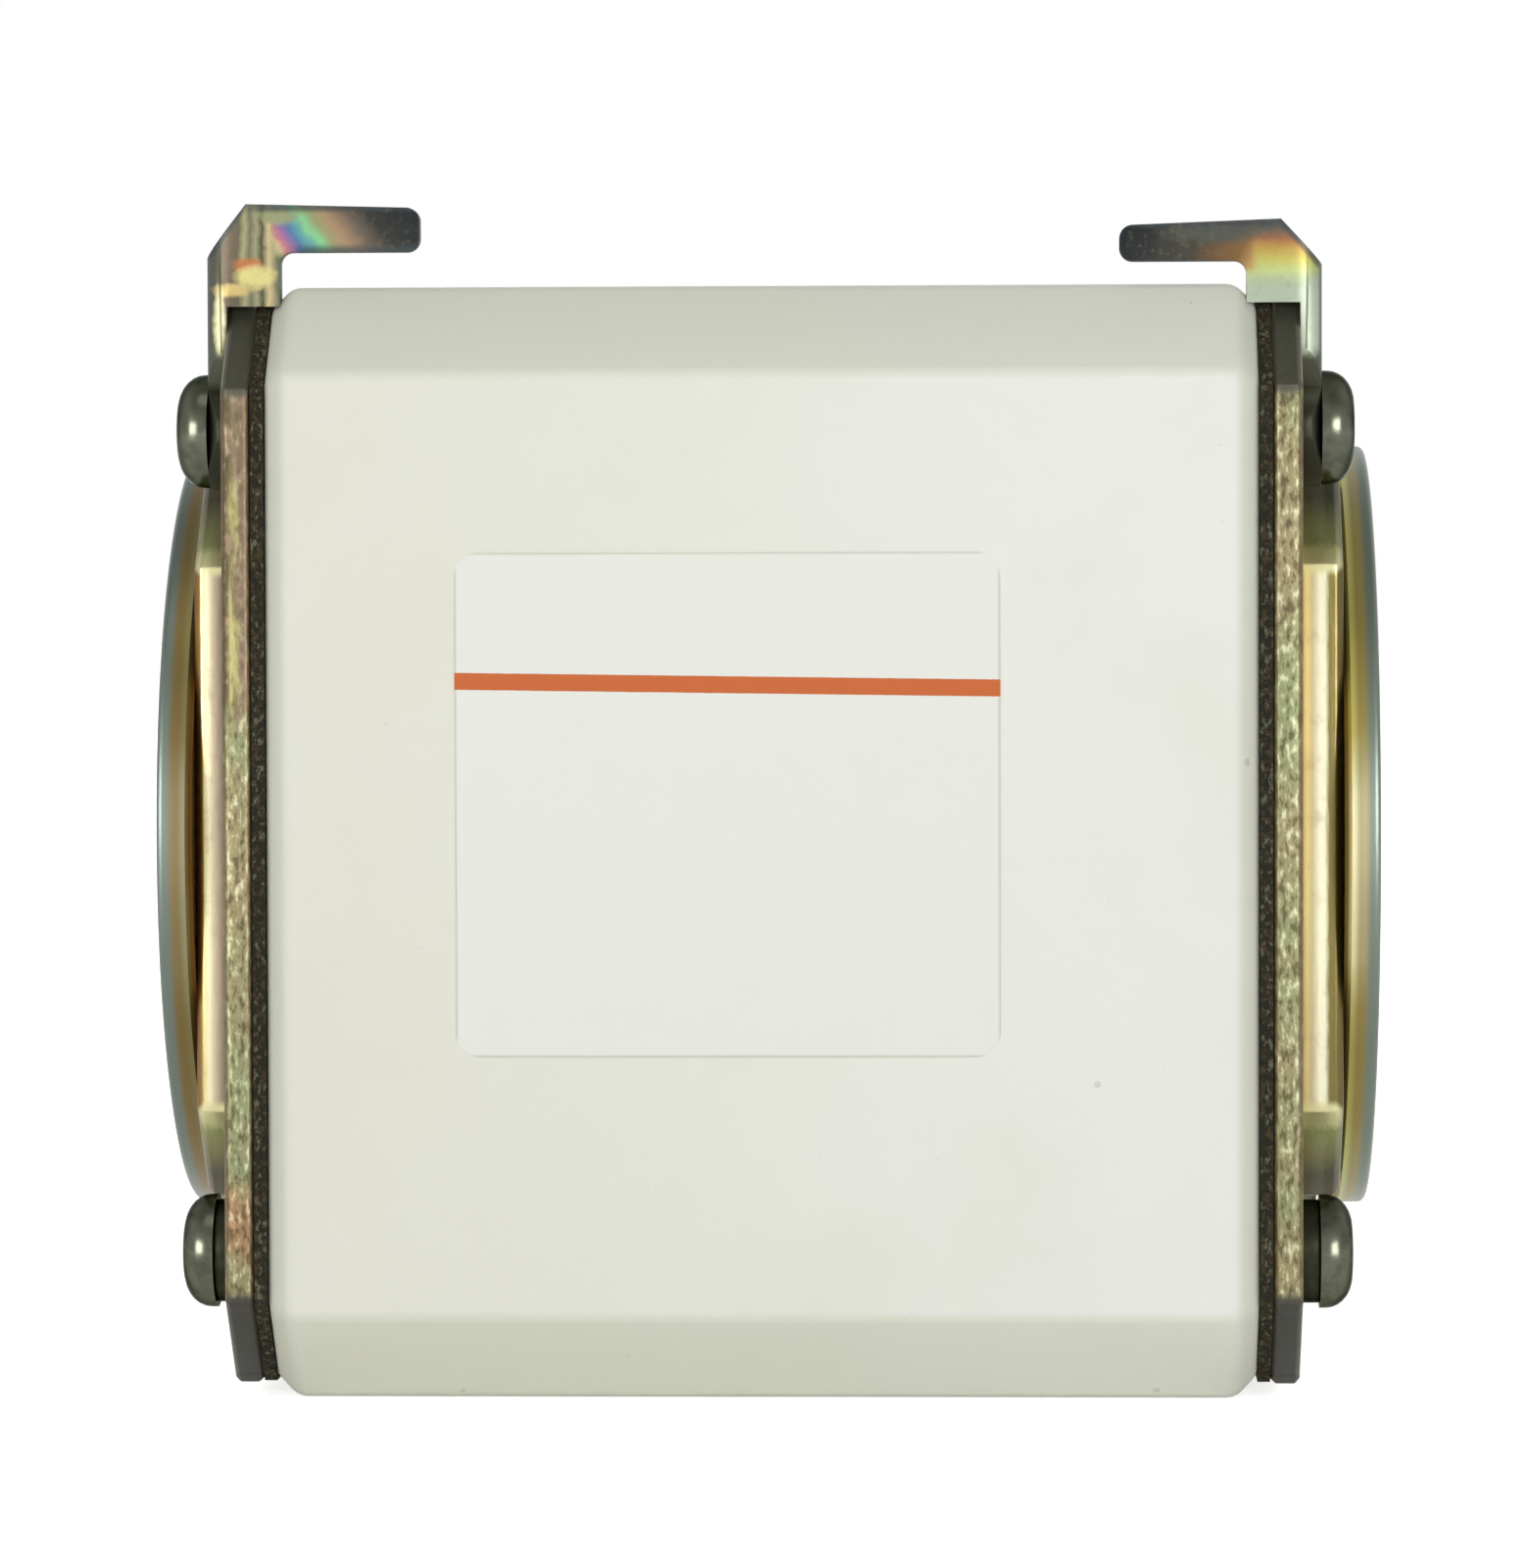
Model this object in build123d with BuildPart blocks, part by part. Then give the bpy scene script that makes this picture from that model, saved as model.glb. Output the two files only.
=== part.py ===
from build123d import *
import os

# Square-body fuse with flush screw-on contacts at both ends, in millimetres.
# The long axis runs along X, the label faces -Y, and the body stands on its flat underside at Z = 0.
# The pieces of the right end are built, and the left end mirrors them.

os.makedirs("parts", exist_ok=True)

# Ceramic body: a square tube
body_size = 75.0
body_length = 66.4
long_edge_chamfer = 6.0
end_edge_chamfer = 1.5
body_wall = 10.0
cavity_corner_radius = 18.0

# Gasket under each end plate
gasket_thickness = 0.85
gasket_inset = 1.0

# End plate, punched from sheet
plate_thickness = 2.0
plate_inset = 0.9
plate_corner_cut = 6.0
plate_edge_break = 0.35

# Corner screws, with domed heads and hexagon sockets
screw_inset = 9.6
screw_thread_diameter = 4.0
screw_shank_length = 14.0
screw_head_diameter = 7.7
screw_head_height = 2.25
screw_head_crown = 3.4
screw_head_rim = 0.45
screw_head_knee = (3.15, 1.5)
screw_socket_size = 2.5
screw_socket_depth = 1.2
screw_hole_clearance = 0.2
screw_hole_spare_depth = 1.0

# Spring lock washers under the screws that hold no lug
washer_thickness = 1.4
washer_diameter = 7.0
washer_split = 0.6

# Contact base: a punched square block with cut corners
base_inset = 11.6
base_thickness = 3.25
base_corner_cut = 6.3
base_edge_break = 0.5

# Contact disc with its spigot and tapped hole
disc_overhang = 2.1
disc_thickness = 2.45
disc_rim_chamfer = 0.45
disc_back_chamfer = 0.4
spigot_diameter = 24.0
spigot_reach = 3.1
spigot_clearance = 0.1
thread_core_diameter = 10.2
thread_mouth_chamfer = 0.9
thread_depth = 9.5

# Carrier plates and fuse elements inside the body
carrier_clearance = 4.5
carrier_thickness = 2.0
carrier_corner_radius = 10.0
element_count = 5
element_side_margin = 5.0
element_end_margin = 4.0
element_thickness = 0.4
element_foot = 4.0
element_bend_radius = 0.4
element_rows = 3
element_row_pitch = 14.0
element_slots = 3
element_slot_width = 2.0
element_neck = 1.8

# Hooked lugs for a microswitch, bent from sheet and held by the upper front screws:
# the leg's top and the levels of the arm are counted from the end plate's upper edge
lug_sheet = 1.5
lug_front = 4.3
lug_bend_radius = 1.8
lug_eye_radius = 4.0
lug_straight_start = 5.4
lug_waist_back = 2.7
lug_waist_rise = 2.8
lug_leg_rise = 2.7
lug_bend_spare = 1.2
lug_leg_corner = 2.0
lug_plate_gap = 0.05
lug_inner_reach = 5.1
lug_corner_run = 2.8
lug_arm_root_radius = 0.8
lug_tip_radius = 0.9
lug_levels = {
    "left": {"shoulder": 2.9, "arm_bottom": 3.25, "arm_top": 6.5, "tip_drop": 0.3, "arm_reach": 14.5},
    "right": {"shoulder": 2.2, "arm_bottom": 2.4, "arm_top": 5.2, "tip_drop": 0.4, "arm_reach": 13.6},
}

# Label on the front face
label_width = 36.3
label_height = 33.6
label_corner_radius = 1.65
label_thickness = 0.15
label_shift = -2.2
label_rise = 2.8

# Places that follow from the sizes above
middle_height = body_size / 2
cavity_size = body_size - 2 * body_wall
carrier_size = cavity_size - 2 * carrier_clearance
element_width = carrier_size - 2 * element_end_margin
element_pitch = (carrier_size - 2 * element_side_margin - element_foot) / (element_count - 1)
gasket_inner_x = body_length / 2
plate_inner_x = gasket_inner_x + gasket_thickness
plate_outer_x = plate_inner_x + plate_thickness
base_outer_x = plate_outer_x + base_thickness
disc_outer_x = base_outer_x + disc_thickness
spigot_end_x = gasket_inner_x - spigot_reach
carrier_inner_x = spigot_end_x - carrier_thickness
plate_size = body_size - 2 * plate_inset
base_size = plate_size - 2 * base_inset
disc_diameter = base_size + 2 * disc_overhang
gasket_size = body_size - 2 * gasket_inset
screw_offset = body_size / 2 - screw_inset
screw_hole_radius = screw_thread_diameter / 2 + screw_hole_clearance
lug_corner = (-screw_offset, screw_offset)
screw_corners = [
    (across_y, up_z)
    for across_y in (-screw_offset, screw_offset)
    for up_z in (-screw_offset, screw_offset)
]
washer_corners = [corner for corner in screw_corners if corner != lug_corner]


def across(x):
    """Plane square to the long axis at x, centred on the body: its own axes are Y and up."""
    return Plane(origin=(x, 0, middle_height), x_dir=(0, 1, 0), z_dir=(1, 0, 0))


def facing_front(y):
    """Upright plane at y that looks forward, centred on the body: its own axes are X and up."""
    return Plane(origin=(0, y, middle_height), x_dir=(1, 0, 0), z_dir=(0, -1, 0))


def corner_place(x, corner):
    """Place of a corner screw or washer: its axis points away from the body."""
    return across(x).location * Location((corner[0], corner[1], 0))


def export_piece(piece, name):
    """Names one finished piece and writes it."""
    piece.label = name
    export_step(piece, f"parts/{name}.step")


def export_both_ends(piece, name):
    """Writes the piece of the right end, and its mirror image for the left end."""
    with BuildPart() as mirrored:
        mirror(piece, about=Plane.YZ)
    export_piece(mirrored.part, f"{name}_left")
    export_piece(piece, f"{name}_right")


# Ceramic body: square with broken edges, through cavity and blind screw holes in both ends
with BuildPart() as ceramic_body:
    with BuildSketch(across(-body_length / 2)) as body_section:
        Rectangle(body_size, body_size)
        chamfer(body_section.vertices(), long_edge_chamfer)
    extrude(amount=body_length)
    end_faces = ceramic_body.faces().filter_by(Axis.X)
    chamfer(end_faces.edges(), end_edge_chamfer)
    with BuildSketch(across(-body_length / 2)):
        RectangleRounded(cavity_size, cavity_size, cavity_corner_radius)
    extrude(amount=body_length, mode=Mode.SUBTRACT)
    screw_reach = screw_shank_length + screw_hole_spare_depth
    for end_x, direction in ((body_length / 2, -1), (-body_length / 2, 1)):
        with BuildSketch(across(end_x)):
            with Locations(*screw_corners):
                Circle(screw_hole_radius)
        extrude(amount=direction * screw_reach, mode=Mode.SUBTRACT)

export_piece(ceramic_body.part, "ceramic_body")

# Gasket: a flat frame round the cavity
with BuildPart() as gasket:
    with BuildSketch(across(gasket_inner_x)) as gasket_outline:
        Rectangle(gasket_size, gasket_size)
        chamfer(gasket_outline.vertices(), plate_corner_cut)
        RectangleRounded(cavity_size, cavity_size, cavity_corner_radius, mode=Mode.SUBTRACT)
        with Locations(*screw_corners):
            Circle(screw_hole_radius, mode=Mode.SUBTRACT)
    extrude(amount=gasket_thickness)

export_both_ends(gasket.part, "gasket")

# End plate: square with cut corners, broken rims, a middle hole and four screw holes
with BuildPart() as end_plate:
    with BuildSketch(across(plate_inner_x)) as plate_outline:
        Rectangle(plate_size, plate_size)
        chamfer(plate_outline.vertices(), plate_corner_cut)
    extrude(amount=plate_thickness)
    rims = end_plate.faces().filter_by(Axis.X).edges()
    chamfer(rims, plate_edge_break)
    with BuildSketch(across(plate_inner_x)):
        Circle(spigot_diameter / 2 + spigot_clearance)
        with Locations(*screw_corners):
            Circle(screw_hole_radius)
    extrude(amount=plate_thickness, mode=Mode.SUBTRACT)

export_both_ends(end_plate.part, "end_plate")

# Contact base: the punched block that lies on the end plate
with BuildPart() as contact_base:
    with BuildSketch(across(plate_outer_x)) as base_outline:
        Rectangle(base_size, base_size)
        chamfer(base_outline.vertices(), base_corner_cut)
    extrude(amount=base_thickness)
    base_rim = contact_base.faces().sort_by(Axis.X)[-1].edges()
    chamfer(base_rim, base_edge_break)
    with BuildSketch(across(plate_outer_x)):
        Circle(spigot_diameter / 2 + spigot_clearance)
    extrude(amount=base_thickness, mode=Mode.SUBTRACT)

export_both_ends(contact_base.part, "contact_base")

# Contact disc: the turned contact face, a spigot through base and plate, and a blind tapped hole
with BuildPart() as contact_disc:
    with BuildSketch(across(base_outer_x)):
        Circle(disc_diameter / 2)
    extrude(amount=disc_thickness)
    disc_faces = contact_disc.faces().sort_by(Axis.X)
    chamfer(disc_faces[-1].edges(), disc_rim_chamfer)
    chamfer(disc_faces[0].edges(), disc_back_chamfer)
    with BuildSketch(across(spigot_end_x)):
        Circle(spigot_diameter / 2)
    extrude(amount=base_outer_x - spigot_end_x)
    with BuildSketch(across(disc_outer_x)):
        Circle(thread_core_diameter / 2)
    extrude(amount=-thread_depth, mode=Mode.SUBTRACT)
    thread_mouth = contact_disc.faces().sort_by(Axis.X)[-1].edges().sort_by(SortBy.RADIUS)[0]
    chamfer(thread_mouth, thread_mouth_chamfer)

export_both_ends(contact_disc.part, "contact_disc")

# Element carrier: the plate on the spigot's inner end that the fuse elements are welded to
with BuildPart() as element_carrier:
    with BuildSketch(across(carrier_inner_x)):
        RectangleRounded(carrier_size, carrier_size, carrier_corner_radius)
    extrude(amount=carrier_thickness)

export_both_ends(element_carrier.part, "element_carrier")

# Fuse elements: perforated strips between the carriers, each end bent to a welded foot
element_bottom = middle_height - element_width / 2
element_slot_pitch = element_width / element_slots
element_slot_height = element_slot_pitch - element_neck
element_first_y = -(element_count - 1) / 2 * element_pitch - element_foot / 2
element_blanks = []
for index in range(element_count):
    element_y = element_first_y + index * element_pitch
    with BuildPart() as fuse_element:
        with BuildSketch(Plane.XY.offset(element_bottom)):
            with BuildLine():
                sheet_line = FilletPolyline(
                    (-carrier_inner_x + element_thickness / 2, element_y + element_foot),
                    (-carrier_inner_x + element_thickness / 2, element_y),
                    (carrier_inner_x - element_thickness / 2, element_y),
                    (carrier_inner_x - element_thickness / 2, element_y + element_foot),
                    radius=element_bend_radius + element_thickness / 2,
                )
            trace(sheet_line, line_width=element_thickness)
        extrude(amount=element_width)
        element_blanks.append(fuse_element.part)
        with BuildSketch(facing_front(element_y)):
            with GridLocations(element_row_pitch, element_slot_pitch, element_rows, element_slots):
                Rectangle(element_slot_width, element_slot_height)
        extrude(amount=element_thickness, both=True, mode=Mode.SUBTRACT)
    export_piece(fuse_element.part, f"fuse_element_{index + 1}")

# Sand filling: the cavity's room between the end plates, less all that stands in it. It is drawn up to
# the faces of each element's strip, and left out of the slots
with BuildPart() as sand_filling:
    with BuildSketch(across(-plate_inner_x)):
        RectangleRounded(cavity_size, cavity_size, cavity_corner_radius)
    extrude(amount=2 * plate_inner_x)
    for spigot_x, direction in ((spigot_end_x, 1), (-spigot_end_x, -1)):
        with BuildSketch(across(spigot_x)):
            Circle(spigot_diameter / 2)
        extrude(amount=direction * (plate_inner_x - spigot_end_x), mode=Mode.SUBTRACT)
    for carrier_x in (carrier_inner_x, -carrier_inner_x - carrier_thickness):
        with BuildSketch(across(carrier_x)):
            RectangleRounded(carrier_size, carrier_size, carrier_corner_radius)
        extrude(amount=carrier_thickness, mode=Mode.SUBTRACT)
    for element_blank in element_blanks:
        add(element_blank, mode=Mode.SUBTRACT)

export_piece(sand_filling.part, "sand_filling")

# Corner screw, drawn once with its head's underside at the origin and its axis along Z
with BuildPart() as corner_screw:
    with BuildSketch(Plane.XZ):
        with BuildLine():
            Polyline(
                (0, -screw_shank_length),
                (screw_thread_diameter / 2, -screw_shank_length),
                (screw_thread_diameter / 2, 0),
                (screw_head_diameter / 2, 0),
                (screw_head_diameter / 2, screw_head_rim),
                screw_head_knee,
                (screw_head_crown / 2, screw_head_height),
                (0, screw_head_height),
                close=True,
            )
        make_face()
    revolve(axis=Axis.Z)
    with BuildSketch(Plane.XY.offset(screw_head_height)):
        RegularPolygon(screw_socket_size / 2, 6, major_radius=False)
    extrude(amount=-screw_socket_depth, mode=Mode.SUBTRACT)

# Screws of one end: three seat on lock washers, and the upper front one on the lug
with BuildPart() as end_screws:
    with Locations(*[corner_place(plate_outer_x + washer_thickness, corner) for corner in washer_corners]):
        add(corner_screw.part)
    with Locations(corner_place(plate_outer_x + lug_sheet, lug_corner)):
        add(corner_screw.part)

export_both_ends(end_screws.part, "end_screws")

# Lock washer, drawn once on the origin: a ring with one radial split
with BuildPart() as lock_washer:
    with BuildSketch():
        Circle(washer_diameter / 2)
        Circle(screw_hole_radius, mode=Mode.SUBTRACT)
        with Locations((washer_diameter / 2, 0)):
            Rectangle(washer_diameter, washer_split, mode=Mode.SUBTRACT)
    extrude(amount=washer_thickness)

# Lock washers of one end
with BuildPart() as lock_washers:
    with Locations(*[corner_place(plate_outer_x, corner) for corner in washer_corners]):
        add(lock_washer.part)

export_both_ends(lock_washers.part, "lock_washers")


def switch_lug(levels):
    """Lug of the right end: an angle of sheet, trimmed to its front outline and its side outline."""
    corner_y, corner_z = lug_corner
    lug_outer_x = plate_outer_x + lug_sheet
    lug_front_y = corner_y - lug_front
    lug_back_y = corner_y + lug_eye_radius
    leg_step_y = lug_front_y + lug_sheet + lug_bend_spare
    blank_bottom = corner_z - lug_eye_radius - lug_sheet
    tip_x = lug_outer_x - levels["arm_reach"]
    inner_x = lug_outer_x - lug_inner_reach
    plate_top = plate_size / 2
    arm_top = plate_top + levels["arm_top"]
    arm_bottom = plate_top + levels["arm_bottom"]
    shoulder = plate_top + levels["shoulder"]
    leg_top = plate_top + lug_leg_rise
    blank_top = arm_top + lug_sheet
    with BuildPart() as lug:
        with BuildSketch(Plane.XY.offset(middle_height + blank_bottom)) as angle_section:
            with BuildLine():
                Polyline(
                    (lug_outer_x, lug_back_y),
                    (lug_outer_x, lug_front_y),
                    (tip_x, lug_front_y),
                    (tip_x, lug_front_y + lug_sheet),
                    (plate_outer_x, lug_front_y + lug_sheet),
                    (plate_outer_x, lug_back_y),
                    close=True,
                )
            make_face()
            outer_bend = angle_section.vertices().sort_by_distance((lug_outer_x, lug_front_y))[0]
            fillet(outer_bend, lug_bend_radius)
        extrude(amount=blank_top - blank_bottom)
        with BuildSketch(facing_front(0)) as front_outline:
            with BuildLine():
                Polyline(
                    (lug_outer_x + lug_corner_run, blank_bottom),
                    (lug_outer_x + lug_corner_run, 2 * shoulder - arm_top),
                    (lug_outer_x - lug_corner_run, arm_top),
                    (tip_x, arm_top - levels["tip_drop"]),
                    (tip_x, arm_bottom),
                    (inner_x, arm_bottom),
                    (inner_x, plate_top + lug_plate_gap),
                    (plate_outer_x, plate_top + lug_plate_gap),
                    (plate_outer_x, blank_bottom),
                    close=True,
                )
            make_face()
            fillet(front_outline.vertices().group_by(Axis.X)[0], lug_tip_radius)
            arm_root = front_outline.vertices().sort_by_distance((inner_x, arm_bottom))[0]
            fillet(arm_root, lug_arm_root_radius)
        extrude(amount=body_size, both=True, mode=Mode.INTERSECT)
        with BuildSketch(across(0)):
            with BuildLine():
                Polyline(
                    (lug_front_y, corner_z + lug_straight_start),
                    (lug_front_y, blank_top),
                    (leg_step_y, blank_top),
                    (leg_step_y, leg_top),
                    (lug_back_y - lug_leg_corner, leg_top),
                    (lug_back_y, leg_top - lug_leg_corner),
                    (lug_back_y, corner_z),
                    (corner_y, corner_z),
                    (corner_y - lug_waist_back, corner_z + lug_waist_rise),
                    close=True,
                )
            make_face()
            with Locations(lug_corner):
                Circle(lug_eye_radius)
                Circle(screw_hole_radius, mode=Mode.SUBTRACT)
        extrude(amount=body_size, mode=Mode.INTERSECT)
    return lug.part


for side, levels in lug_levels.items():
    with BuildPart() as switch_lug_piece:
        if side == "left":
            mirror(switch_lug(levels), about=Plane.YZ)
        else:
            add(switch_lug(levels))
    export_piece(switch_lug_piece.part, f"switch_lug_{side}")

# Label on the front face
with BuildPart() as label:
    with BuildSketch(facing_front(-body_size / 2)):
        with Locations((label_shift, label_rise)):
            RectangleRounded(label_width, label_height, label_corner_radius)
    extrude(amount=label_thickness)

export_piece(label.part, "label")
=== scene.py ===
import math

import bmesh
import bpy
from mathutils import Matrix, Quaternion, Vector


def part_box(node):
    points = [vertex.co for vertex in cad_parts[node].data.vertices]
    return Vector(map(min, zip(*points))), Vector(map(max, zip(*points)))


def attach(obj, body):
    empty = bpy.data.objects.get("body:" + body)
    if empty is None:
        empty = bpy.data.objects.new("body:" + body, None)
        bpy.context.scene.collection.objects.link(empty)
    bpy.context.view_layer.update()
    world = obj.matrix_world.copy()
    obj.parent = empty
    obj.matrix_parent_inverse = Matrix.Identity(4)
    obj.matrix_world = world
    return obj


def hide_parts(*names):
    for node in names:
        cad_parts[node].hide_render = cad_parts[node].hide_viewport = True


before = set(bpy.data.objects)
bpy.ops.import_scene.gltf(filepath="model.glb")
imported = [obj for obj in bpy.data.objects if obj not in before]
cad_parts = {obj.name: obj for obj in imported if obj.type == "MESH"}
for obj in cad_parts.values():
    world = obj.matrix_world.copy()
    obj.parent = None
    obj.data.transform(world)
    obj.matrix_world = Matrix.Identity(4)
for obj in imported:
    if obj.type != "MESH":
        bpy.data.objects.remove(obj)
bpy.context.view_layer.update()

bl_info = {
    "name": "Square-body fuse",
    "version": (1, 0, 0),
    "blender": (4, 5, 0),
    "location": "View3D > Sidebar > Fuse",
    "description": "Finishes the pieces of a square-body fuse with flush contacts, and sets up its stage",
    "category": "Object",
}

MM = 0.001
SIDES = ("left", "right")
BODY_LOW, BODY_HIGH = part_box("ceramic_body")
BODY_HALF = (BODY_HIGH.z - BODY_LOW.z) / 2
MIDDLE = (BODY_HIGH.z + BODY_LOW.z) / 2
PLATE_LOW, PLATE_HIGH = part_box("end_plate_right")
BASE_LOW, BASE_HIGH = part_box("contact_base_right")
DISC_LOW, DISC_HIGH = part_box("contact_disc_right")
SCREW_LOW, SCREW_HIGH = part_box("end_screws_right")
LUG_LEFT_LOW, LUG_LEFT_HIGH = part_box("switch_lug_left")
LUG_RIGHT_LOW, LUG_RIGHT_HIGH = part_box("switch_lug_right")

# Widths of the corner cuts that get painted shade of their own
BODY_CUT = 6 * MM
PLATE_CUT = 6 * MM
BASE_CUT = 6.3 * MM

# Edges that lie this deep in the body or less are outer ones
BODY_SKIN = 6.5 * MM

# A face with a larger share of its normal along an axis faces that way
FACING = 0.9

FLOOR_GAP = 0.05 * MM

# Name, place, size, name of the power, whether mirrors show it, whether it lights matt surfaces
LAMPS = (
    ("front_light", (0.05, -1.6, 0.12), 1.4, "front_power", False, True),
    ("top_light", (-0.25, -0.5, 1.2), 0.5, "top_power", True, True),
    ("back_light_left", (-1.1, 1.3, 0.8), 0.9, "back_power", False, True),
    ("back_light_right", (1.1, 1.3, 0.8), 0.9, "back_power", False, True),
    ("catch_light_left", (-0.58, -0.6, 0.06), 0.42, "spark_power", True, False),
    ("catch_light_right", (0.54, -0.62, 0.06), 0.42, "spark_power", True, False))

# Places on a lug in millimetres: along the arm from its outer end, and down from its top edge
LUG_LOOKS = {
    "left": {
        "outer": LUG_LEFT_LOW.x, "inward": 1, "top": LUG_LEFT_HIGH.z, "cut": (2.6, 3.7), "slant": 0.7,
        "shadow_from": 9.6, "root_by": "along",
        # On the left, the light and dark stripes from 2.7 to 4.35 are painted reflections of the bend
        "root_tones_and_sheen": ((0, (62, 72, 64)), (0.5, (76, 76, 62)), (1.5, (92, 82, 68)), (2.3, (84, 78, 60)),
                       (2.7, (136, 134, 100)), (3.1, (94, 94, 74)), (3.5, (132, 128, 100)),
                       (3.9, (60, 64, 44)), (4.35, (170, 156, 116)), (5.0, (80, 86, 66))),
        "arm_tones": ((3.8, (140, 140, 104)), (4.4, (166, 148, 112)), (4.9, (158, 96, 106)),
                      (5.4, (116, 88, 128)), (5.9, (70, 96, 132)), (6.6, (78, 132, 130)),
                      (7.3, (108, 166, 116)), (8.1, (124, 130, 90)), (9.2, (138, 113, 86)),
                      (10.6, (88, 79, 68)), (12.0, (42, 42, 39)), (14.5, (22, 29, 31))),
        # The third and fourth are painted highlights along the lower edge, the fifth a painted highlight on
        # the bend
        "patches_and_painted_light": (((5.0, 0.8), (1.3, 0.6), (124, 128, 94)), ((2.9, 4.1), (1.0, 0.5), (156, 96, 56)),
                    ((3.4, 4.9), (1.3, 0.8), (182, 172, 112)), ((1.7, 5.8), (1.3, 0.45), (172, 154, 100)),
                    ((0.95, 7.9), (0.42, 2.2), (196, 192, 152)))},
    "right": {
        "outer": LUG_RIGHT_HIGH.x, "inward": -1, "top": LUG_RIGHT_HIGH.z, "cut": (2.8, 3.1), "slant": 0.5,
        "shadow_from": 8.4, "root_by": "down",
        "root_tones_and_sheen": ((0, (70, 74, 68)), (0.7, (80, 76, 64)), (1.3, (132, 86, 58)), (1.9, (152, 122, 62)),
                       (2.7, (160, 154, 80)), (3.4, (158, 166, 110)), (4.3, (142, 152, 130)),
                       (6.0, (148, 158, 142))),
        "arm_tones": ((4.2, (150, 118, 72)), (5.4, (106, 77, 42)), (7.2, (86, 66, 42)), (8.7, (54, 51, 43)),
                      (10.8, (45, 46, 41)), (12.0, (31, 33, 33)), (13.6, (19, 24, 28))),
        # The first is painted shade on the arm's upper half, the second a painted highlight on the bend
        "patches_and_painted_light": (((7.2, 0.9), (3.4, 0.75), (66, 68, 62)), ((0.7, 6.4), (0.9, 2.4), (162, 171, 154)))}}


def paint(red, green, blue):
    """A screen colour, 0 to 255, as the linear colour that a shader takes."""
    parts = [value / 255 for value in (red, green, blue)]
    return tuple(part / 12.92 if part <= 0.04045 else ((part + 0.055) / 1.055) ** 2.4 for part in parts)


def length(name, default, text):
    """A size in metres that is shown in the scene's own unit."""
    return bpy.props.FloatProperty(name=name, description=text, default=default * MM, min=0, unit="LENGTH",
                                   precision=5)


def count(name, default, text):
    return bpy.props.IntProperty(name=name, description=text, default=default, min=3)


def colour(name, default, text):
    return bpy.props.FloatVectorProperty(name=name, description=text, default=paint(*default), size=3, min=0,
                                         max=1, subtype="COLOR")


def spot(name, default, text):
    return bpy.props.FloatVectorProperty(name=name, description=text, default=default, size=3, precision=5,
                                         subtype="TRANSLATION", unit="LENGTH")


def watts(name, default, text):
    return bpy.props.FloatProperty(name=name, description=text, default=default, subtype="POWER",
                                   unit="POWER")


class FuseSizes(bpy.types.PropertyGroup):
    """Sizes of the fine forms that the scene adds to the solids."""

    ceramic_edge: length("Ceramic edge", 0.55, "Width of the softened outer edges of the ceramic body")
    plate_edge: length("Plate edge", 0.12, "Width of the worn edges of the end plates and contact bases")
    lug_lip: length("Lug lip", 0.45, "How far the lug's lower front edge hangs over the end plate's corner")
    lug_edge: length("Lug edge", 0.15, "Width of the rolled-over edges of the punched lugs")
    washer_edge: length("Washer edge", 0.12, "Width of the rounded edges of the lock washers")
    disc_rim: length("Disc rim", 0.45, "Width of the rounded rim of the contact face")
    disc_segments: count("Disc segments", 144, "Number of sides of the turned contact disc")
    thread_major: length("Thread radius", 5.95, "Radius at the root of the thread in the contact")
    thread_mouth: length("Thread mouth", 0.3, "Width of the countersink at the mouth of the thread")
    thread_height: length("Thread height", 0.9, "Height of the thread's ridge")
    thread_pitch: length("Thread pitch", 1.75, "Distance from one turn of the thread to the next")
    thread_depth: length("Thread depth", 9.5, "Depth of the tapped hole")
    spigot_radius: length("Spigot radius", 12, "Radius of the part of the contact that reaches into the body")
    screw_segments: count("Screw segments", 48, "Number of sides of a screw head")
    head_radius: length("Head radius", 3.85, "Radius of a screw head")
    head_height: length("Head height", 2.25, "Height of a domed screw head")
    head_rim: length("Head rim", 0.45, "Height of the straight rim below the dome")
    head_top: length("Head top", 1.75, "Radius at which the dome meets the flat top")
    socket_width: length("Socket width", 2.5, "Width across the flats of the hexagon socket")
    socket_depth: length("Socket depth", 1.2, "Depth of the hexagon socket")
    shank_radius: length("Shank radius", 2, "Radius of a screw's shank")


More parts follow.
